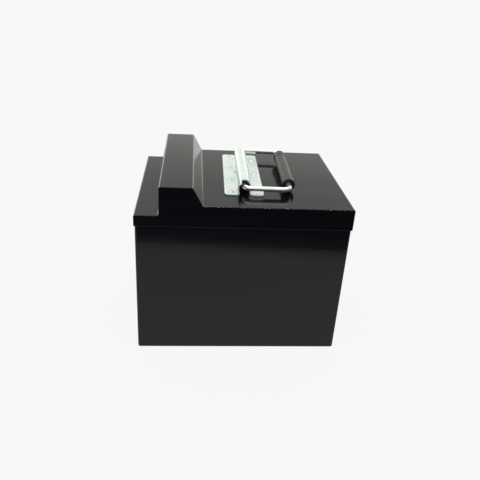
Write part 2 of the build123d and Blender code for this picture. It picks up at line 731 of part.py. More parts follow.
def make_top_board():
    """Insulating deck over the links, which carries the management board."""
    board = block(
        TOP_BOARD_X0, BLOCK_X / 2, -BLOCK_Y / 2, BLOCK_Y / 2, TOP_BOARD_Z, TOP_BOARD_Z + TOP_BOARD_T
    )
    board = fillet(board.edges().filter_by(Axis.Z), 4)
    return board - block(*BOARD_SLOT, TOP_BOARD_Z - 1, TOP_BOARD_Z + TOP_BOARD_T + 1)


def spacer_places():
    """Spacers stand on the second, fifth and seventh cell of each row."""
    return [p for i, p in enumerate(cell_places()) if i % CELLS_PER_ROW in (1, 4, 6)]


def make_board_spacers():
    """Columns between the cells and the insulating deck."""
    return Compound([rod_z(3.6, CELL_TOP, TOP_BOARD_Z, x, y) for x, y in spacer_places()])


# ---- Battery management board ---------------------------------------------------------------
def bms_corners():
    """Standoff places."""
    half_x, half_y = BMS_SIZE[0] / 2 - 5, BMS_SIZE[1] / 2 - 5
    return [(BMS_X + sx * half_x, BMS_Y + sy * half_y) for sx in (-1, 1) for sy in (-1, 1)]


def make_bms_board():
    """Circuit board with four mounting holes."""
    half_x, half_y = BMS_SIZE[0] / 2, BMS_SIZE[1] / 2
    board = block(
        BMS_X - half_x, BMS_X + half_x, BMS_Y - half_y, BMS_Y + half_y, BMS_Z, BMS_Z + BMS_T
    )
    board = fillet(board.edges().filter_by(Axis.Z), 3)
    for x, y in bms_corners():
        board -= rod_z(1.6, BMS_Z - 1, BMS_Z + 9, x, y)
    return board


def make_bms_standoffs():
    """Standoffs, each with a stud and a cap over the board."""
    solids = []
    for x, y in bms_corners():
        post = rod_z(3, TOP_BOARD_Z + TOP_BOARD_T, BMS_Z, x, y)
        solids.append(post + rod_z(1.5, BMS_Z - 1, BMS_Z + BMS_T + 1, x, y))
        cap = rod_z(2.8, BMS_Z + BMS_T, BMS_Z + BMS_T + 2, x, y)
        solids[-1] += cap
    return Compound(solids)


def make_bms_transistors():
    """Two rows of power transistors."""
    z0 = BMS_Z + BMS_T
    solids = []
    for side in (-1, 1):
        for i in range(FETS):
            x = BMS_X - 45.5 + i * 13
            y = BMS_Y + side * 18
            solids.append(
                block(x - FET[0] / 2, x + FET[0] / 2, y - FET[1] / 2, y + FET[1] / 2, z0, z0 + FET[2])
            )
    return Compound(solids)


def make_bms_heat_sink():
    """Finned aluminium bar on the transistors."""
    z0 = BMS_Z + BMS_T + FET[2]
    z1 = z0 + SINK_BASE
    half_y = 26.0
    sink = block(BMS_X - 54, BMS_X + 54, BMS_Y - half_y, BMS_Y + half_y, z0, z1)
    for i in range(SINK_FINS):
        y = BMS_Y - half_y + SINK_FIN_T / 2 + i * (2 * half_y - SINK_FIN_T) / (SINK_FINS - 1)
        sink += block(BMS_X - 54, BMS_X + 54, y - SINK_FIN_T / 2, y + SINK_FIN_T / 2, z1 - 0.5, z1 + SINK_FIN_H)
    return sink


def header_block(inset, z0, z1):
    """A box on the balance header's footprint, set in by a wall."""
    half_x, half_y = HEADER[0] / 2 - inset, HEADER[1] / 2 - inset
    return block(HEADER_X - half_x, HEADER_X + half_x, HEADER_Y - half_y, HEADER_Y + half_y, z0, z1)


def make_balance_header():
    """Pin header for the balance leads."""
    z0 = BMS_Z + BMS_T
    return header_block(0, z0, z0 + HEADER[2]) - header_block(1.5, z0 + 2, z0 + HEADER[2] + 1)


# ---- Leads ----------------------------------------------------------------------------------
def lead(points, radius):
    """A round lead along straight runs joined by arcs as large as the runs allow."""
    vectors = [Vector(*p) for p in points]
    runs = [b - a for a, b in zip(vectors, vectors[1:])]
    radii = []
    for before, after in zip(runs, runs[1:]):
        half_turn = radians(before.get_angle(after)) / 2
        radii.append(0.45 * min(before.length, after.length) * cos(half_turn) / sin(half_turn))
    path = FilletPolyline(*vectors, radius=radii)
    return swept(path, radius)


def free_posts():
    """The block's positive and negative ends: inner posts of the first and the last cell."""
    posts = post_places()
    return posts[0][0], posts[-1][0]


def make_lead_lugs():
    """Ring lugs under the bolts of the two free inner posts."""
    solids = []
    for (x, y), side in zip(free_posts(), (-1, 1)):
        ring = rod_z(LUG_R, LINK_Z, LINK_Z + LUG_T, x, y)
        ring += block(x, x + 12, y - 4, y + 4, LINK_Z, LINK_Z + LUG_T)
        solids.append(ring - rod_z(BOLT_R + 0.1, LINK_Z - 1, LINK_Z + 9, x, y))
    return Compound(solids)


def lug_end(post, rise=0.0):
    """Where a lead stands on a lug."""
    return (post[0] + 9, post[1], LINK_Z + LUG_T + rise)


def blade_end(index):
    """Where a lead meets a discharge blade's tail."""
    return (
        HUMP_LEFT_X + DISCHARGE_DEPTH + BLADE_TAIL,
        blade_places()[index],
        SOCKET_Z + BLADE_DROP,
    )


def pin_end(index):
    """Where a lead meets a charge pin's tail."""
    y, z = pin_places()[index]
    return (HUMP_LEFT_X + CHARGE_DEPTH + PIN_TAIL, y, z)


def make_lead_pack_positive():
    """Positive lead, from the first cell to the discharge socket."""
    start, end = lug_end(free_posts()[0]), blade_end(0)
    points = [
        start,
        (start[0], start[1], start[2] + 14),
        (start[0] + 14, start[1] - 8, start[2] + 24),
        (end[0] + 5, end[1] + 4, end[2] - 16),
        (end[0] + 8, end[1], end[2]),
        end,
    ]
    return lead(points, LEAD_R)


def make_lead_output_negative():
    """Negative output lead, from the management board to the discharge socket."""
    end = blade_end(1)
    board_x = BMS_X - BMS_SIZE[0] / 2
    points = [
        end,
        (end[0] + 5, end[1], end[2]),
        (end[0] + 9, end[1] + 3, end[2] - 15),
        (board_x, BMS_Y - 22, BMS_Z + BMS_T + LEAD_R + 3),
        (board_x + 10, BMS_Y - 22, BMS_Z + BMS_T + LEAD_R),
    ]
    return lead(points, LEAD_R)


def make_lead_pack_negative():
    """Negative lead, from the last cell to the management board."""
    start = lug_end(free_posts()[1])
    board_x = BMS_X - BMS_SIZE[0] / 2
    z = BMS_Z + BMS_T + LEAD_R
    points = [
        start,
        (start[0], start[1], start[2] + 12),
        (start[0] + 14, start[1], z + 2),
        (board_x - 22, BMS_Y + 10, z + 3),
        (board_x, BMS_Y + 6, z),
        (board_x + 12, BMS_Y + 6, z),
    ]
    return lead(points, LEAD_R)


def make_charge_leads():
    """Two thin leads, from the charge inlet to the first cell's lug and to the board."""
    board_x = BMS_X - BMS_SIZE[0] / 2
    z = BMS_Z + BMS_T + CHARGE_LEAD_R
    to_board = pin_end(1)
    minus = [
        to_board,
        (to_board[0] + 10, to_board[1], to_board[2]),
        (to_board[0] + 18, to_board[1] - 3, to_board[2] - 14),
        (board_x - 4, BMS_Y + 32, z + 3),
        (board_x + 10, BMS_Y + 28, z),
    ]
    from_pin, lug = pin_end(0), lug_end(free_posts()[0])
    plus = [
        from_pin,
        (from_pin[0] + 8, from_pin[1], from_pin[2]),
        (from_pin[0] + 8, from_pin[1] - 14, from_pin[2] - 12),
        (lug[0] + 16, lug[1] + 10, lug[2] + 20),
        (lug[0] + 2.2, lug[1] + 5.5, lug[2] + 16),
        (lug[0] + 1.2, lug[1] + 5.2, lug[2]),
    ]
    return Compound([lead(minus, CHARGE_LEAD_R), lead(plus, CHARGE_LEAD_R)])


def bar_between(start, end, radius):
    """A round bar between two points."""
    a, b = Vector(*start), Vector(*end)
    return Plane(origin=(a + b) * 0.5, z_dir=b - a) * Cylinder(radius, (b - a).length)


def jointed_bar(points, radius):
    """A round bar through points, with a ball at every corner."""
    bar = bar_between(points[0], points[1], radius)
    for a, b in zip(points[1:], points[2:]):
        bar += Pos(*a) * Sphere(radius + JOINT_PROUD)
        bar += bar_between(a, b, radius)
    return bar


def tap_places():
    """Where each balance tap leaves its run of the loom and where it meets the circuit."""
    posts = post_places()
    taps = []
    for i in range(len(posts) - 1):
        crossing = i == CELLS_PER_ROW - 1
        outer = not crossing and (i if i < CELLS_PER_ROW else i - CELLS_PER_ROW) % 2 == 0
        side = -1 if i < CELLS_PER_ROW else 1
        x = (posts[i][0][0] + posts[i + 1][0][0]) / 2
        taps.append((x, side, ROW_Y + POST_OFF - 7 if outer else ROW_Y - POST_OFF + 7))
    x = posts[0][0][0]
    return taps + [(x, side, ROW_Y - POST_OFF + 6.8) for side in (-1, 1)]


def make_balance_loom():
    """Plug, sleeved bundle and a thin tap to every link."""
    plug_top = BMS_Z + BMS_T + HEADER[2] + 2
    plug = header_block(1.7, BMS_Z + BMS_T + 2.2, plug_top)
    end_x = post_places()[0][0][0]
    run = [
        (HEADER_X + 4, HEADER_Y, plug_top - 1),
        (HEADER_X + 4, HEADER_Y, plug_top + 5),
        (HEADER_X + 4, -48.5, plug_top + 5),
        (HEADER_X + 4, -48.5, LOOM_Z + 4),
        (HEADER_X + 4, -LOOM_Y, LOOM_Z),
    ]
    loom = plug + jointed_bar(run, LOOM_RISER_R)
    for side in (-1, 1):
        loom += rod_x(LOOM_R, end_x - 2, -end_x + 2, side * LOOM_Y, LOOM_Z)
    loom += rod_y(LOOM_CROSS_R, -LOOM_Y, LOOM_Y, LOOM_CROSS_X, LOOM_Z)
    for x, side, y in tap_places():
        foot = (x, side * y, LINK_Z + LINK_T + TAP_R + 0.1)
        loom += bar_between((x, side * LOOM_Y, LOOM_Z), foot, TAP_R)
    return loom


def make_temperature_sensor():
    """Bead stuck on a cell, with its lead to the management board."""
    x, y = SENSOR
    bead = block(x - 3, x + 3, y - 2, y + 2, CELL_TOP, CELL_TOP + 3)
    over = BMS_Z + BMS_T + 6
    route = [
        (x, y, CELL_TOP + 2),
        (x, y, CELL_TOP + 7),
        (SENSOR_LEAD_X, -48.5, LOOM_Z + 2),
        (SENSOR_LEAD_X, -48.5, over),
        (SENSOR_LEAD_X, HEADER_Y, over),
        (SENSOR_LEAD_X, HEADER_Y, BMS_Z + BMS_T),
    ]
    return bead + swept(FilletPolyline(*route, radius=1.8), TAP_R)


def all_parts():
    """Every node's shape by its name."""
    parts = {
        "case_body": make_case(),
        "lid": make_lid(),
        "lid_screws": make_lid_screws(),
        "rim_nuts": make_rim_nuts(),
        "handle_plate": make_handle_plate(),
        "handle_bail": make_bail(),
        "handle_grip": make_grip(),
        "bail_bush_front": make_bush(BARREL_Y0),
        "bail_bush_rear": make_bush(BARREL_Y1),
        "return_spring": make_spring(),
        "handle_rivets": make_rivets(),
        "rivet_stems": make_rivet_stems(),
        "discharge_socket": make_discharge_socket(),
        "discharge_contacts": make_discharge_contacts(),
        "charge_inlet": make_charge_inlet(),
        "charge_pins": make_charge_pins(),
        "socket_screws": make_socket_screws(),
        "socket_nuts": make_socket_nuts(),
        "cell_posts": make_cell_posts(),
        "cell_links": make_cell_links(),
        "link_bolts": make_link_bolts(),
        "cell_pads": make_cell_pads(),
        "centre_board": make_centre_board(),
        "end_boards": Compound([make_end_board(-1), make_end_board(1)]),
        "side_boards": Compound([make_side_board(-1), make_side_board(1)]),
        "strap_lower": make_strap(STRAP_Z[0]),
        "strap_upper": make_strap(STRAP_Z[1]),
        "wall_pads": make_wall_pads(),
        "base_pad": make_base_pad(),
        "top_board": make_top_board(),
        "board_spacers": make_board_spacers(),
        "bms_board": make_bms_board(),
        "bms_standoffs": make_bms_standoffs(),
        "bms_transistors": make_bms_transistors(),
        "bms_heat_sink": make_bms_heat_sink(),
        "balance_header": make_balance_header(),
        "balance_loom": make_balance_loom(),
        "temperature_sensor": make_temperature_sensor(),
        "lead_lugs": make_lead_lugs(),
        "lead_pack_positive": make_lead_pack_positive(),
        "lead_pack_negative": make_lead_pack_negative(),
        "lead_output_negative": make_lead_output_negative(),
        "charge_leads": make_charge_leads(),
    }
    for number, place in enumerate(cell_places(), start=1):
        parts[f"cell_{number:02d}"] = make_cell(place)
    return parts


def main():
    """Writes one STEP file per node."""
    os.makedirs("parts", exist_ok=True)
    for name, shape in all_parts().items():
        export_step(shape, f"parts/{name}.step")


if __name__ == "__main__":
    main()
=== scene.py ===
"""Looks of the steel-cased battery pack: paint, plated handle, sockets, studio and camera.

Everything is in metres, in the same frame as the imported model: the origin is in the middle of
the base, +Z is up and -Y is the front.
"""

import logging
import math
from dataclasses import dataclass, replace
from enum import Enum
from typing import Any

import bpy
from mathutils import Matrix, Vector


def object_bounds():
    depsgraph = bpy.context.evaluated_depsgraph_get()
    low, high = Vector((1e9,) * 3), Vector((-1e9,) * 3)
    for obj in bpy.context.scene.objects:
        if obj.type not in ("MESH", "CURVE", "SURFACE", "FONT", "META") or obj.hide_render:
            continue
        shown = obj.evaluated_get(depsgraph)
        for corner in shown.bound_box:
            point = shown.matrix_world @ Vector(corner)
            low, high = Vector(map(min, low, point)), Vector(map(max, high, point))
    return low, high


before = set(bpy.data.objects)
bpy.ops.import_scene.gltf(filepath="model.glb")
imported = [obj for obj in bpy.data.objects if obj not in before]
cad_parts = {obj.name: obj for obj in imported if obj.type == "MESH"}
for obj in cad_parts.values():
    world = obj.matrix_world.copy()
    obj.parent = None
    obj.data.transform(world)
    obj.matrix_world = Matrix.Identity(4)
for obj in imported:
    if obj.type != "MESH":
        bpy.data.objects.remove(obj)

MM = 0.001
NOISE_LOW, NOISE_HIGH = 0.3, 0.7  # the range that most of a soft noise lies in
CAD_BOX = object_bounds()

logging.basicConfig(level=logging.INFO, format="%(message)s")
LOG = logging.getLogger("battery_pack")


# ---- Colour and node helpers ----------------------------------------------------------------
def linear(colour: str) -> tuple[float, float, float, float]:
    """Turns an sRGB hex colour to linear light.

    Args:
        colour: Six hex digits with a leading "#".

    Returns:
        Red, green, blue and an alpha of one, as Blender's sockets take them.
    """
    channels = [int(colour[i : i + 2], 16) / 255 for i in (1, 3, 5)]
    red, green, blue = (c / 12.92 if c <= 0.04045 else ((c + 0.055) / 1.055) ** 2.4 for c in channels)
    return red, green, blue, 1.0


def add_node(
    tree: bpy.types.NodeTree,
    kind: str,
    inputs: dict[str | int, Any] | None = None,
    stops: list[tuple[float, tuple[float, float, float, float]]] | None = None,
    **settings: Any,
) -> bpy.types.Node:
    """Adds a node with its settings, its input values and its links.

    Args:
        tree: The node tree that takes the node.
        kind: The node's type name.
        inputs: Values or output sockets by input name; a socket is linked.
        stops: Places and colours of a colour ramp, from 0 to 1.
        **settings: Properties to set on the node.

    Returns:
        The new node.
    """
    node = tree.nodes.new(kind)
    for name, value in settings.items():
        setattr(node, name, value)
    for key, value in (inputs or {}).items():
        if isinstance(value, bpy.types.NodeSocket):
            tree.links.new(value, node.inputs[key])
        else:
            node.inputs[key].default_value = value
    if stops:
        elements = node.color_ramp.elements
        elements.remove(elements[1])
        elements[0].position, elements[0].color = stops[0]
        for place, colour in stops[1:]:
            elements.new(place).color = colour
    return node


class Grain(Enum):
    """How the grain of a finish runs."""

    EVEN = (1.0, 1.0, 1.0)
    ALONG_X = (0.04, 1.0, 1.0)
    ALONG_Y = (1.0, 0.04, 1.0)


@dataclass(frozen=True)
class Finish:
    """A surface finish: what the real material is and how it was made.

    Attributes:
        name: The material's name in Blender.
        colour: sRGB hex colour of the bare surface.
        shade: sRGB hex colour that the surface varies towards.
        roughness: Roughness of the smooth stretches.
        rough_spread: How much rougher the dull stretches are.
        metallic: 1 for a bare metal, 0 for anything else.
        grain_mm: Size of one grain or patch, in millimetres.
        bump_mm: Height of the grain, in millimetres.
        grain: How the grain runs.
        specular: Strength of a clear surface's mirror, where 0.5 is plain glass.
    """

    name: str
    colour: str
    shade: str
    roughness: float = 0.5
    rough_spread: float = 0.1
    metallic: float = 0.0
    grain_mm: float = 2.0
    bump_mm: float = 0.02
    grain: Grain = Grain.EVEN
    specular: float = 0.5

    def material(self) -> bpy.types.Material:
        """Finds the finish's material, or makes it.

        Returns:
            The material, made once and shared.
        """
        found = bpy.data.materials.get(self.name)
        if found:
            return found
        made = bpy.data.materials.new(self.name)
        made.use_nodes = True
        made.node_tree.nodes.clear()
        shader = self.surface(made.node_tree)
        add_node(made.node_tree, "ShaderNodeOutputMaterial", {"Surface": shader.outputs[0]})
        return made

    def place(self, tree: bpy.types.NodeTree, grain: Grain | None = None) -> bpy.types.NodeSocket:
        """Object coordinates in millimetres, stretched along the grain.

        Args:
            tree: The material's node tree.
            grain: Another direction than the finish's own.

        Returns:
            The mapped vector.
        """
        where = add_node(tree, "ShaderNodeTexCoord")
        scale = tuple(s / MM for s in (grain or self.grain).value)
        mapping = add_node(
            tree, "ShaderNodeMapping", {"Vector": where.outputs["Object"], "Scale": scale}
        )
        return mapping.outputs["Vector"]

    def noise(
        self, tree: bpy.types.NodeTree, size_mm: float, detail: float = 2.0, grain: Grain | None = None
    ) -> bpy.types.NodeSocket:
        """A soft noise with patches of a real size.

        Args:
            tree: The material's node tree.
            size_mm: Size of one patch, in millimetres.
            detail: How many finer layers are added.
            grain: Another direction than the finish's own.

        Returns:
            The noise, from 0 to 1.
        """
        made = add_node(
            tree,
            "ShaderNodeTexNoise",
            {"Vector": self.place(tree, grain), "Scale": 1 / size_mm, "Detail": detail},
        )
        return made.outputs["Fac"]

    def spread(
        self, tree: bpy.types.NodeTree, fac: bpy.types.NodeSocket, low: float, high: float
    ) -> bpy.types.NodeSocket:
        """Maps a noise's useful middle onto a range.

        Args:
            tree: The material's node tree.
            fac: The noise.
            low: Value at the noise's low end.
            high: Value at its high end.

        Returns:
            The mapped value.
        """
        made = add_node(
            tree,
            "ShaderNodeMapRange",
            {
                "Value": fac,
                "From Min": NOISE_LOW,
                "From Max": NOISE_HIGH,
                "To Min": low,
                "To Max": high,
            },
        )
        return made.outputs["Result"]

    def bump(
        self, tree: bpy.types.NodeTree, height: bpy.types.NodeSocket, bump_mm: float
    ) -> bpy.types.NodeSocket:
        """Relief of a real height.

        Args:
            tree: The material's node tree.
            height: Height from 0 to 1.
            bump_mm: Height of the relief, in millimetres.

        Returns:
            The bent normal.
        """
        made = add_node(
            tree, "ShaderNodeBump", {"Height": height, "Distance": bump_mm * MM, "Strength": 1.0}
        )
        return made.outputs["Normal"]

    def surface(self, tree: bpy.types.NodeTree) -> bpy.types.Node:
        """Builds the shader.

        Args:
            tree: The material's node tree.

        Returns:
            The shader node.
        """
        patches = self.noise(tree, self.grain_mm, 3.0)
        tint = add_node(
            tree,
            "ShaderNodeMix",
            {"Factor": self.spread(tree, patches, 0.0, 1.0), 6: linear(self.colour), 7: linear(self.shade)},
            data_type="RGBA",
        )
        rough = self.spread(tree, patches, self.roughness, self.roughness + self.rough_spread)
        return add_node(
            tree,
            "ShaderNodeBsdfPrincipled",
            {
                "Base Color": tint.outputs[2],
                "Roughness": rough,
                "Metallic": self.metallic,
                "Specular IOR Level": self.specular,
                "Normal": self.bump(tree, patches, self.bump_mm),
            },
        )


@dataclass(frozen=True)
class PowderCoat(Finish):
    """Gloss-black polyester powder coat, sprayed on folded steel and baked.

    It gives a near-mirror with a slight orange peel, long faint waves where the sheet isn't quite
    flat, and, where asked for, small pale marks along a fold. These are primer chips that also paint
    in the highlight along the fold's edge.

    Attributes:
        peel_mm: Size of one orange-peel dimple.
        wave_mm: Length of the sheet's waves.
        wave_height_mm: Height of the sheet's waves.
        chip_highlight_mm: Size of one pale mark (a primer chip that also serves as painted highlight), or 0
            for an unmarked film.
        chip_highlight_reach_mm: How far the pale marks run from the fold.
        chip_highlight_level: Noise above which the pale marks are painted in.
        fold_at: Where the marked stretch of the fold starts, in metres; it runs along +X.
        primer_highlight: sRGB hex colour of the pale marks, which is the primer under the paint and also a
            painted highlight.
    """

    peel_mm: float = 2.2
    wave_mm: float = 90.0
    wave_height_mm: float = 0.05
    chip_highlight_mm: float = 0.0
    chip_highlight_reach_mm: float = 0.7
    chip_highlight_level: float = 0.64
    fold_at: tuple[float, float, float] = (0.0, 0.0, 0.0)
    primer_highlight: str = "#b9bbb8"

    def chips_and_painted_highlight(self, tree: bpy.types.NodeTree, paint: bpy.types.NodeSocket) -> bpy.types.NodeSocket:
        """Paints pale marks along the fold: primer where the paint is knocked off, which also stands in as a
        painted highlight on the fold's edge.

        Args:
            tree: The material's node tree.
            paint: Colour of the whole paint.

        Returns:
            The colour with the pale marks, which are primer chips and a painted highlight.
        """
        where = add_node(tree, "ShaderNodeTexCoord")
        fold = add_node(
            tree,
            "ShaderNodeVectorMath",
            {0: where.outputs["Object"], 1: self.fold_at},
            operation="SUBTRACT",
        )
        along = add_node(tree, "ShaderNodeSeparateXYZ", {0: fold.outputs[0]})
        started = add_node(tree, "ShaderNodeMath", {0: along.outputs["X"], 1: 0.0}, operation="GREATER_THAN")
        flat = add_node(
            tree, "ShaderNodeVectorMath", {0: fold.outputs[0], 1: (0.0, 1.0, 1.0)}, operation="MULTIPLY"
        )
        away = add_node(tree, "ShaderNodeVectorMath", {0: flat.outputs[0]}, operation="LENGTH")
        near = add_node(
            tree,
            "ShaderNodeMath",
            {0: away.outputs["Value"], 1: self.chip_highlight_reach_mm * MM},
            operation="LESS_THAN",
        )
        marks = self.noise(tree, self.chip_highlight_mm, 2.0)
        chip_and_highlight_spots = add_node(tree, "ShaderNodeMath", {0: marks, 1: self.chip_highlight_level}, operation="GREATER_THAN")
        both = add_node(
            tree, "ShaderNodeMath", {0: near.outputs[0], 1: chip_and_highlight_spots.outputs[0]}, operation="MULTIPLY"
        )
        kept = add_node(
            tree, "ShaderNodeMath", {0: both.outputs[0], 1: started.outputs[0]}, operation="MULTIPLY"
        )
        # pale marks: primer chips that also paint in the highlight along the fold's edge
        shown = add_node(
            tree,
            "ShaderNodeMix",
            {"Factor": kept.outputs[0], 6: paint, 7: linear(self.primer_highlight)},
            data_type="RGBA",
        )
        return shown.outputs[2]

    def surface(self, tree: bpy.types.NodeTree) -> bpy.types.Node:
        """Builds the paint's shader.

        Args:
            tree: The material's node tree.

        Returns:
            The shader node.
        """
        film = self.noise(tree, self.grain_mm, 4.0, Grain.ALONG_X)
        rough = self.spread(tree, film, self.roughness, self.roughness + self.rough_spread)
        waves = self.bump(tree, self.noise(tree, self.wave_mm, 1.0), self.wave_height_mm)
        peel = add_node(
            tree,
            "ShaderNodeBump",
            {
                "Height": self.noise(tree, self.peel_mm, 1.0),
                "Distance": self.bump_mm * MM,
                "Strength": 1.0,
                "Normal": waves,
            },
        )
        tint = add_node(
            tree,
            "ShaderNodeMix",
            {"Factor": film, 6: linear(self.colour), 7: linear(self.shade)},
            data_type="RGBA",
        )
        # pale primer chips along the fold, which also serve as a painted edge highlight
        colour = self.chips_and_painted_highlight(tree, tint.outputs[2]) if self.chip_highlight_mm else tint.outputs[2]
        return add_node(
            tree,
            "ShaderNodeBsdfPrincipled",
            {
                "Base Color": colour,
                "Roughness": rough,
                "IOR": 1.5,
                "Specular IOR Level": self.specular,
                "Normal": peel.outputs["Normal"],
            },
        )


@dataclass(frozen=True)
class ZincPlate(Finish):
    """Bright zinc plate with a clear passivate, on stamped or drawn steel.

    The passivate's thin film gives soft bluish and yellowish clouds, and the rolled steel below
    shows through as fine straight lines.

    Attributes:
        cloud_mm: Size of one coloured cloud.
        cool: sRGB hex colour of the bluish clouds.
        warm: sRGB hex colour of the yellowish clouds.
        cloud_stops: Noise levels of the bluish, plain and yellowish film.
        line_share: How much the rolled lines dull the film at most.
    """

    cloud_mm: float = 14.0
    cool: str = "#cfe4e5"
    warm: str = "#e6ebe6"
    cloud_stops: tuple[float, float, float] = (0.36, 0.52, 0.66)
    line_share: float = 0.25

    def surface(self, tree: bpy.types.NodeTree) -> bpy.types.Node:
        """Builds the plating's shader.

        Args:
            tree: The material's node tree.

        Returns:
            The shader node.
        """
        clouds = self.noise(tree, self.cloud_mm, 2.0, Grain.EVEN)
        film = add_node(
            tree,
            "ShaderNodeValToRGB",
            {"Fac": clouds},
            stops=list(zip(self.cloud_stops, map(linear, (self.cool, self.colour, self.warm)))),
        )
        lines = self.noise(tree, self.grain_mm, 3.0)
        dulled = add_node(
            tree,
            "ShaderNodeMix",
            {
                "Factor": self.spread(tree, lines, 0.0, self.line_share),
                6: film.outputs["Color"],
                7: linear(self.shade),
            },
            data_type="RGBA",
        )
        return add_node(
            tree,
            "ShaderNodeBsdfPrincipled",
            {
                "Base Color": dulled.outputs[2],
                "Metallic": self.metallic,
                "Roughness": self.spread(tree, lines, self.roughness, self.roughness + self.rough_spread),
                "Normal": self.bump(tree, lines, self.bump_mm),
            },
        )


BLACK_PAINT = PowderCoat(
    "gloss_black_powder_coat", "#08080c", "#0d0d13", roughness=0.1, rough_spread=0.06,
    grain_mm=9.0, bump_mm=0.004, specular=0.27,
)
LID_PAINT = replace(
    # the lid's front fold carries pale marks: primer chips that also serve as a painted highlight
    BLACK_PAINT, name="gloss_black_lid_coat", chip_highlight_mm=1.6, fold_at=(-0.055, -0.1078, 0.2016)
)
BLACK_SCREW = Finish(
    "black_oxide_steel", "#040405", "#0a0a0b", roughness=0.2, rough_spread=0.08, grain_mm=0.8, bump_mm=0.01,
    specular=0.1,
)
ZINC = ZincPlate(
    "bright_zinc_plate", "#dde5e5", "#cfd9da", roughness=0.26, rough_spread=0.05, metallic=0.6,
    grain_mm=0.8, bump_mm=0.002, grain=Grain.ALONG_Y,
)
BRIGHT_ROD = ZincPlate(
    "bright_drawn_rod", "#e6eaeb", "#d2d8da", roughness=0.12, rough_spread=0.06, metallic=0.9,
    grain_mm=0.5, bump_mm=0.003, grain=Grain.EVEN, cool="#d2dee2", warm="#e8e8e4",
)
RIVET_STEEL = Finish(
    "bright_rivet_steel", "#c6cfd0", "#b4bfc1", roughness=0.14, rough_spread=0.06, metallic=1.0,
    grain_mm=1.0, bump_mm=0.002,
)
GRIP_RUBBER = Finish(
    "moulded_black_rubber", "#0f0f10", "#1a1a1b", roughness=0.36, rough_spread=0.14, grain_mm=1.4,
    bump_mm=0.02,
)
BLACK_NYLON = Finish(
    "moulded_black_nylon", "#101011", "#19191a", roughness=0.42, rough_spread=0.12, grain_mm=0.9,
    bump_mm=0.015,
)
TINNED_BRASS = Finish(
    "tinned_brass", "#cdb277", "#bda873", roughness=0.25, rough_spread=0.15, metallic=1.0, grain_mm=1.0,
    bump_mm=0.004,
)
CELL_FILM = Finish(
    "blue_shrink_film", "#17407c", "#1d4c90", roughness=0.22, rough_spread=0.1, grain_mm=6.0, bump_mm=0.02
)
TURNED_ALUMINIUM = Finish(
    "turned_aluminium", "#c9cbce", "#b5b8bc", roughness=0.3, rough_spread=0.12, metallic=1.0,
    grain_mm=0.5, bump_mm=0.006,
)
COPPER_BAR = Finish(
    "nickel_flashed_copper", "#c27a52", "#b06b47", roughness=0.3, rough_spread=0.15, metallic=1.0,
    grain_mm=0.7, bump_mm=0.006, grain=Grain.ALONG_X,
)
STAINLESS = Finish(
    "stainless_steel", "#b9bcbf", "#a3a7aa", roughness=0.28, rough_spread=0.12, metallic=1.0,
    grain_mm=0.5, bump_mm=0.005,
)
CELL_FOAM = Finish(
    "closed_cell_foam", "#1c1c1e", "#2a2a2d", roughness=0.85, rough_spread=0.1, grain_mm=1.0, bump_mm=0.25
)
GLASS_LAMINATE = Finish(
    "glass_fibre_laminate", "#b9b27f", "#a59e6b", roughness=0.4, rough_spread=0.15, grain_mm=1.2,
    bump_mm=0.02,
)
SOLDER_MASK = Finish(
    "green_solder_mask", "#0c3d22", "#124a2a", roughness=0.3, rough_spread=0.1, grain_mm=1.5, bump_mm=0.02
)
MOULDED_EPOXY = Finish(
    "moulded_epoxy", "#141415", "#1e1e1f", roughness=0.55, rough_spread=0.15, grain_mm=0.4, bump_mm=0.02
)
RED_SILICONE = Finish(
    "red_silicone", "#9c1414", "#7f1010", roughness=0.42, rough_spread=0.12, grain_mm=2.0, bump_mm=0.02
)
BLACK_SILICONE = Finish(
    "black_silicone", "#141414", "#1d1d1d", roughness=0.42, rough_spread=0.12, grain_mm=2.0, bump_mm=0.02
)
BRAIDED_SLEEVE = Finish(
    "braided_sleeve", "#151515", "#333333", roughness=0.5, rough_spread=0.2, grain_mm=0.8, bump_mm=0.2
)


def dress(finish: Finish, *nodes: str) -> None:
    """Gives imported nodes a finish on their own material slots.

    Args:
        finish: The finish.
        *nodes: The nodes' names.
    """
    for name in nodes:
        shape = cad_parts[name]
        if not shape.material_slots:
            shape.data.materials.append(None)
        for slot in shape.material_slots:
            slot.material = finish.material()


# ---- Sub-assemblies -------------------------------------------------------------------------
@dataclass
class Casing:
    """Folded steel case and its stepped lid, with the screws that hold them together."""

    def dress(self) -> None:
        """Paints the sheet steel and finishes the fasteners."""
        dress(BLACK_PAINT, "case_body")
        dress(LID_PAINT, "lid")
        dress(BLACK_SCREW, "lid_screws")
        dress(ZINC, "rim_nuts")


@dataclass
class CarryHandle:
    """Sprung fold-flat handle on the lid."""

    def dress(self) -> None:
        """Plates the metal and finishes the grip and the bushes."""
        dress(ZINC, "handle_plate", "return_spring")
        dress(RIVET_STEEL, "handle_rivets", "rivet_stems")
        dress(BRIGHT_ROD, "handle_bail")
        dress(GRIP_RUBBER, "handle_grip")
        dress(BLACK_NYLON, "bail_bush_front", "bail_bush_rear")


@dataclass
class Sockets:
    """Discharge socket and charge inlet on the raised housing's outer wall."""

    def dress(self) -> None:
        """Finishes the mouldings, the contacts and the fasteners."""
        dress(BLACK_NYLON, "discharge_socket", "charge_inlet")
        dress(TINNED_BRASS, "discharge_contacts", "charge_pins")
        dress(BLACK_SCREW, "socket_screws")
        dress(ZINC, "socket_nuts")


@dataclass
class CellBlock:
    """Sixteen strapped cells with their links, boards and pads."""

    cells: int = 16

    def dress(self) -> None:
        """Finishes the cells and everything clamped to them."""
        dress(CELL_FILM, *[f"cell_{number:02d}" for number in range(1, self.cells + 1)])
        dress(TURNED_ALUMINIUM, "cell_posts")
        dress(COPPER_BAR, "cell_links", "lead_lugs")
        dress(STAINLESS, "link_bolts")
        dress(CELL_FOAM, "cell_pads", "wall_pads", "base_pad")
        dress(GLASS_LAMINATE, "centre_board", "end_boards", "side_boards", "top_board")
        dress(ZINC, "strap_lower", "strap_upper")
        dress(BLACK_NYLON, "board_spacers")


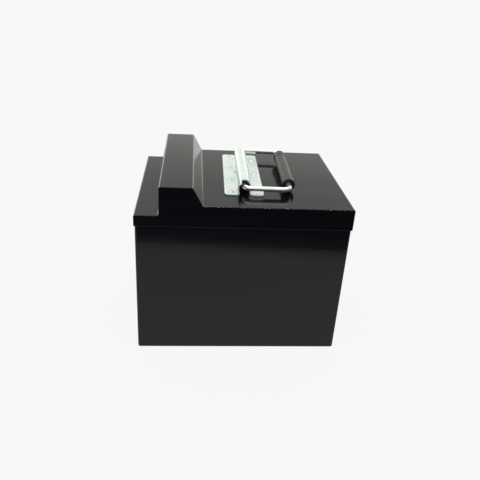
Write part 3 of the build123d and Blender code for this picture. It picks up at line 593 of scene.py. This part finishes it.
@dataclass
class ManagementBoard:
    """Battery management board with its power parts and thin leads."""

    def dress(self) -> None:
        """Finishes the board, its parts and the leads."""
        dress(SOLDER_MASK, "bms_board")
        dress(STAINLESS, "bms_standoffs")
        dress(MOULDED_EPOXY, "bms_transistors", "balance_header")
        dress(TURNED_ALUMINIUM, "bms_heat_sink")
        dress(BRAIDED_SLEEVE, "balance_loom", "temperature_sensor")
        dress(RED_SILICONE, "lead_pack_positive")
        dress(BLACK_SILICONE, "lead_pack_negative", "lead_output_negative", "charge_leads")


# ---- Studio ---------------------------------------------------------------------------------
@dataclass
class Studio:
    """Pale floor, soft light all round and the camera.

    Attributes:
        floor_size: Width of the whole floor.
        mat_margin: How far the pale mat runs past the object's front face.
        mat_depth: Width and depth of the mat, which reaches far behind the object.
        mat_turn: Turn of the mat about +Z, in degrees.
        sky_strength: Strength of the brightest part of the dome.
        sky_blue: Blue in the dome's light against red and green, for a warm white.
        pale: sRGB hex colour of the floor as the camera sees it.
        paper: sRGB hex colour of the floor's own paper, which takes the faint shadow.
        paper_glow: Strength of the floor's even light.
        fibre_mm: Size of one fibre patch in the paper.
        camera_at: The camera's place.
        camera_yaw: Turn to the right of +Y, in degrees.
        camera_pitch: Tilt above the horizon, in degrees.
        camera_roll: Roll to the left, in degrees.
        lens_mm: Focal length on a 36 mm sensor.
        side_light: Share of the dome's light at its -X and its +X side.
        front_steps: Elevation's sine and brightness on the camera's side of the dome.
        back_steps: The same behind the object.
        turn_over: The direction's Y where the dome starts and ends its turn from front to back.
        side_over: The direction's X where the side light starts and ends its change.
    """

    floor_size: float = 40.0
    mat_margin: float = 0.283
    mat_depth: float = 8.0
    mat_turn: float = 4.4
    sky_strength: float = 4.0
    sky_blue: float = 0.94
    pale: str = "#f6f6f6"
    paper: str = "#2b2b2b"
    paper_glow: float = 0.985
    fibre_mm: float = 1 / 0.9
    camera_at: tuple[float, float, float] = (-0.0625, -0.6820, 0.4501)
    camera_yaw: float = 5.73
    camera_pitch: float = -26.71
    camera_roll: float = 3.73
    lens_mm: float = 40.70
    side_light: tuple[float, float] = (1.06, 0.94)
    front_steps: tuple[tuple[float, float], ...] = (
        (-0.04, 0.005), (0.02, 0.03), (0.3, 0.05), (0.55, 0.28), (1.0, 0.3),
    )
    back_steps: tuple[tuple[float, float], ...] = (
        (-0.04, 0.005), (0.0, 0.6), (0.2, 0.28), (0.35, 0.16), (0.4, 0.2), (0.47, 0.22),
        (0.56, 0.3), (1.0, 0.7),
    )

    turn_over: tuple[float, float] = (-0.25, 0.55)
    side_over: tuple[float, float] = (-0.5, 0.5)

    def build_camera(self) -> None:
        """Sets the camera up where it looks down on the front and the lid."""
        lens = bpy.data.cameras.new("camera")
        lens.lens = self.lens_mm
        lens.sensor_width = 36.0
        lens.clip_start, lens.clip_end = 0.01, 100.0
        camera = bpy.data.objects.new("camera", lens)
        bpy.context.scene.collection.objects.link(camera)
        turns = (self.camera_yaw, self.camera_pitch, self.camera_roll)
        yaw, pitch, roll = (math.radians(turn) for turn in turns)
        ahead = Vector((math.sin(yaw) * math.cos(pitch), math.cos(yaw) * math.cos(pitch), math.sin(pitch)))
        level = Vector((math.cos(yaw), -math.sin(yaw), 0.0))
        upright = level.cross(ahead)
        across = level * math.cos(roll) + upright * math.sin(roll)
        upwards = upright * math.cos(roll) - level * math.sin(roll)
        facing = Matrix((across, upwards, -ahead)).transposed()
        camera.matrix_world = Matrix.Translation(self.camera_at) @ facing.to_4x4()
        bpy.context.scene.camera = camera

    def floor_material(self) -> bpy.types.Material:
        """Seamless paper, lit so evenly that it holds only a trace of shadow.

        Returns:
            The floor's material.
        """
        made = bpy.data.materials.new("seamless_paper")
        made.use_nodes = True
        tree = made.node_tree
        tree.nodes.clear()
        where = add_node(tree, "ShaderNodeTexCoord")
        fibre = add_node(
            tree,
            "ShaderNodeTexNoise",
            {"Vector": where.outputs["Object"], "Scale": 1 / (self.fibre_mm * MM)},
        )
        bump = add_node(
            tree, "ShaderNodeBump", {"Height": fibre.outputs["Fac"], "Distance": 0.02 * MM, "Strength": 0.3}
        )
        shader = add_node(
            tree,
            "ShaderNodeBsdfPrincipled",
            {
                "Base Color": linear(self.paper),
                "Roughness": 0.9,
                "Specular IOR Level": 0.0,
                "Emission Color": linear(self.pale),
                "Emission Strength": self.paper_glow,
                "Normal": bump.outputs["Normal"],
            },
        )
        add_node(tree, "ShaderNodeOutputMaterial", {"Surface": shader.outputs[0]})
        return made

    def build_floor(self) -> None:
        """Lays the mat under the object and the wide floor around it."""
        low, high = CAD_BOX
        near = low.y - self.mat_margin
        paper = self.floor_material()
        for name, depth, middle, drop in (
            ("floor_mat", self.mat_depth, near + self.mat_depth / 2, 0.0),
            ("floor_wide", self.floor_size, 0.0, 0.02 * MM),
        ):
            bpy.ops.object.select_all(action="DESELECT")
            bpy.ops.mesh.primitive_plane_add(size=1.0, location=(0.0, middle, -drop))
            floor = bpy.context.object
            floor.name = name
            floor.scale = (depth, depth, 1.0)
            bpy.ops.object.transform_apply(location=True, rotation=False, scale=True)
            floor.rotation_euler.z = math.radians(self.mat_turn) if drop == 0.0 else 0.0
            bpy.ops.object.transform_apply(location=False, rotation=True, scale=False)
            floor.data.materials.append(paper)
            floor.visible_glossy = drop == 0.0

    def sky(
        self, tree: bpy.types.NodeTree, height: bpy.types.NodeSocket, steps: tuple[tuple[float, float], ...]
    ) -> bpy.types.NodeSocket:
        """One side of the dome, as brightness by height.

        Args:
            tree: The world's node tree.
            height: Sine of the elevation, moved to 0 to 1.
            steps: Pairs of the elevation's sine and the brightness there.

        Returns:
            The side's colour.
        """
        stops = [((sine + 1) / 2, (light, light, self.sky_blue * light, 1.0)) for sine, light in steps]
        return add_node(tree, "ShaderNodeValToRGB", {"Fac": height}, stops=stops).outputs["Color"]

    def build_world(self) -> None:
        """Soft light from a pale dome: brightest low down behind the object, dim low in front."""
        world = bpy.data.worlds.new("studio")
        world.use_nodes = True
        tree = world.node_tree
        tree.nodes.clear()
        where = add_node(tree, "ShaderNodeTexCoord")
        split = add_node(tree, "ShaderNodeSeparateXYZ", {0: where.outputs["Generated"]})
        height = add_node(
            tree,
            "ShaderNodeMapRange",
            {"Value": split.outputs["Z"], "From Min": -1.0, "From Max": 1.0},
        )
        behind = add_node(
            tree,
            "ShaderNodeMapRange",
            {"Value": split.outputs["Y"], "From Min": self.turn_over[0], "From Max": self.turn_over[1]},
        )
        front = self.sky(tree, height.outputs["Result"], self.front_steps)
        back = self.sky(tree, height.outputs["Result"], self.back_steps)
        dome = add_node(
            tree,
            "ShaderNodeMix",
            {"Factor": behind.outputs["Result"], 6: front, 7: back},
            data_type="RGBA",
        )
        across = add_node(
            tree,
            "ShaderNodeMapRange",
            {
                "Value": split.outputs["X"],
                "From Min": self.side_over[0],
                "From Max": self.side_over[1],
                "To Min": self.side_light[0] * self.sky_strength,
                "To Max": self.side_light[1] * self.sky_strength,
            },
        )
        soft = add_node(
            tree,
            "ShaderNodeBackground",
            {"Color": dome.outputs[2], "Strength": across.outputs["Result"]},
        )
        seen = add_node(
            tree, "ShaderNodeBackground", {"Color": linear(self.pale), "Strength": 1.0}
        )
        path = add_node(tree, "ShaderNodeLightPath")
        mix = add_node(
            tree,
            "ShaderNodeMixShader",
            {0: path.outputs["Is Camera Ray"], 1: soft.outputs[0], 2: seen.outputs[0]},
        )
        add_node(tree, "ShaderNodeOutputWorld", {"Surface": mix.outputs[0]})
        bpy.context.scene.world = world

    def build(self) -> None:
        """Builds the camera, the floor and the light."""
        self.build_camera()
        self.build_floor()
        self.build_world()
        settings = bpy.context.scene.view_settings
        settings.view_transform = "Standard"
        settings.look = "None"


def main() -> None:
    """Builds the studio, then dresses every sub-assembly."""
    studio = Studio()
    studio.build()
    for assembly in (Casing(), CarryHandle(), Sockets(), CellBlock(), ManagementBoard()):
        assembly.dress()
        LOG.info("%s dressed", type(assembly).__name__)


if __name__ == "__main__":
    main()
